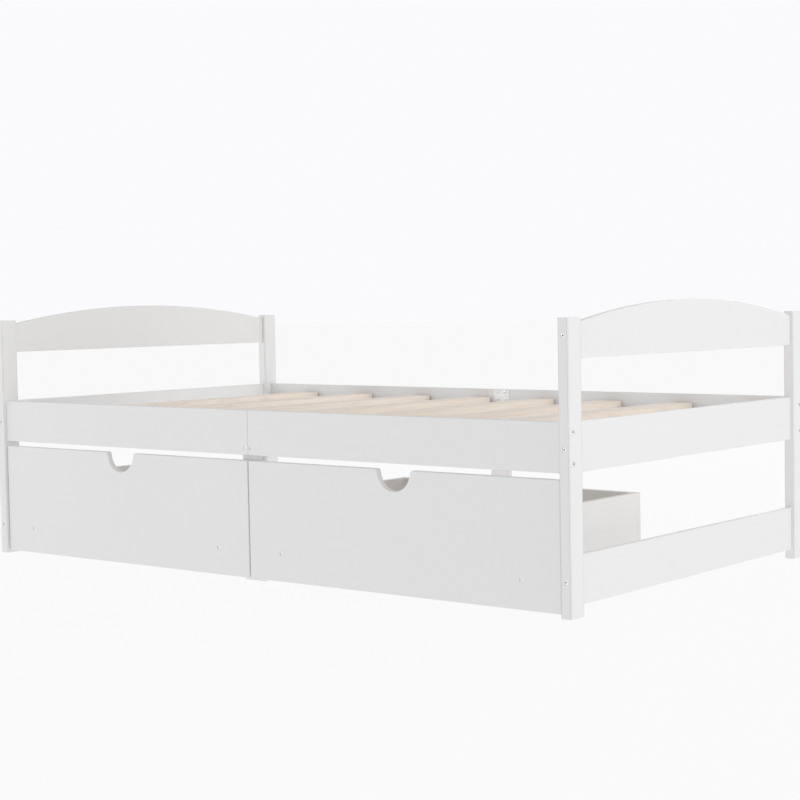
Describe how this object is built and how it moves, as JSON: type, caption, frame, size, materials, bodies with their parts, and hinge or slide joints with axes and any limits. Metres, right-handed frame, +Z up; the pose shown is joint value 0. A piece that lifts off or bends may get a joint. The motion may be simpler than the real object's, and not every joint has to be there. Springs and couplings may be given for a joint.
{
  "type": "bed frame",
  "caption": "White single bed frame with arched end panels, pine slats, split side rails and rolling drawers with finger notches under one side.",
  "frame": {"origin": "on the floor under the middle of the bed", "axes": "+X from the head to the foot, -Y towards the drawer side, +Z up"},
  "size_m": [2, 1.072, 0.697],
  "materials": {
    "white_paint": "smooth satin white paint on solid wood boards",
    "pine": "planed pale pine with a thin matt varnish",
    "drawer_wood": "warm off-white paint on sanded board",
    "beech": "plain turned beech",
    "steel": "bright zinc plate",
    "wheel_rubber": "soft dark tread"
  },
  "bodies": {
    "frame": {"post_head_front": "white_paint", "post_head_rear": "white_paint", "post_foot_front": "white_paint", "post_foot_rear": "white_paint", "headboard_panel": "white_paint", "footboard_panel": "white_paint", "head_end_rail": "white_paint", "foot_end_rail": "white_paint", "head_low_rail": "white_paint", "foot_low_rail": "white_paint", "front_rail_head_half": "white_paint", "front_rail_foot_half": "white_paint", "rear_rail_head_half": "white_paint", "rear_rail_foot_half": "white_paint", "front_ledger_head_half": "white_paint", "front_ledger_foot_half": "white_paint", "rear_ledger_head_half": "white_paint", "rear_ledger_foot_half": "white_paint", "centre_leg_front": "white_paint", "centre_leg_rear": "white_paint", "joint_plate_front": "steel", "joint_plate_rear": "steel", "slat_1": "pine", "slat_2": "pine", "slat_3": "pine", "slat_4": "pine", "slat_5": "pine", "slat_6": "pine", "slat_7": "pine", "slat_8": "pine", "end_board_bolts": "steel", "side_rail_bolts": "steel", "threaded_inserts": "steel", "dowels": "beech", "centre_leg_screws": "steel", "joint_plate_screws": "steel", "slat_screws": "steel"},
    "left_drawer": {"left_drawer_front": "white_paint", "left_drawer_side_outer": "drawer_wood", "left_drawer_side_inner": "drawer_wood", "left_drawer_back": "drawer_wood", "left_drawer_bottom": "drawer_wood", "left_drawer_screws": "steel", "left_caster_brackets": "steel", "left_caster_axles": "steel", "left_caster_screws": "steel"},
    "left_drawer_front_wheels": {"left_wheels_front": "wheel_rubber"},
    "left_drawer_rear_wheels": {"left_wheels_rear": "wheel_rubber"},
    "right_drawer": {"right_drawer_front": "white_paint", "right_drawer_side_outer": "drawer_wood", "right_drawer_side_inner": "drawer_wood", "right_drawer_back": "drawer_wood", "right_drawer_bottom": "drawer_wood", "right_drawer_screws": "steel", "right_caster_brackets": "steel", "right_caster_axles": "steel", "right_caster_screws": "steel"},
    "right_drawer_front_wheels": {"right_wheels_front": "wheel_rubber"},
    "right_drawer_rear_wheels": {"right_wheels_rear": "wheel_rubber"}
  },
  "joints": [
    {"name": "left_drawer_slide", "type": "slide", "parent": "frame", "child": "left_drawer", "axis": [0, -1, 0], "range_m": [0, 0.45]},
    {"name": "left_drawer_front_wheel_spin", "type": "hinge", "parent": "left_drawer", "child": "left_drawer_front_wheels", "pos_m": [-0.48525, -0.464, 0.02], "axis": [1, 0, 0], "continuous": true},
    {"name": "left_drawer_rear_wheel_spin", "type": "hinge", "parent": "left_drawer", "child": "left_drawer_rear_wheels", "pos_m": [-0.48525, -0.12, 0.02], "axis": [1, 0, 0], "continuous": true},
    {"name": "right_drawer_slide", "type": "slide", "parent": "frame", "child": "right_drawer", "axis": [0, -1, 0], "range_m": [0, 0.45]},
    {"name": "right_drawer_front_wheel_spin", "type": "hinge", "parent": "right_drawer", "child": "right_drawer_front_wheels", "pos_m": [0.48525, -0.464, 0.02], "axis": [1, 0, 0], "continuous": true},
    {"name": "right_drawer_rear_wheel_spin", "type": "hinge", "parent": "right_drawer", "child": "right_drawer_rear_wheels", "pos_m": [0.48525, -0.12, 0.02], "axis": [1, 0, 0], "continuous": true}
  ],
  "couplings": [
    {"joint": "left_drawer_front_wheel_spin", "follows": "left_drawer_slide", "rad_per_m": 50},
    {"joint": "left_drawer_rear_wheel_spin", "follows": "left_drawer_slide", "rad_per_m": 50},
    {"joint": "right_drawer_front_wheel_spin", "follows": "right_drawer_slide", "rad_per_m": 50},
    {"joint": "right_drawer_rear_wheel_spin", "follows": "right_drawer_slide", "rad_per_m": 50}
  ]
}
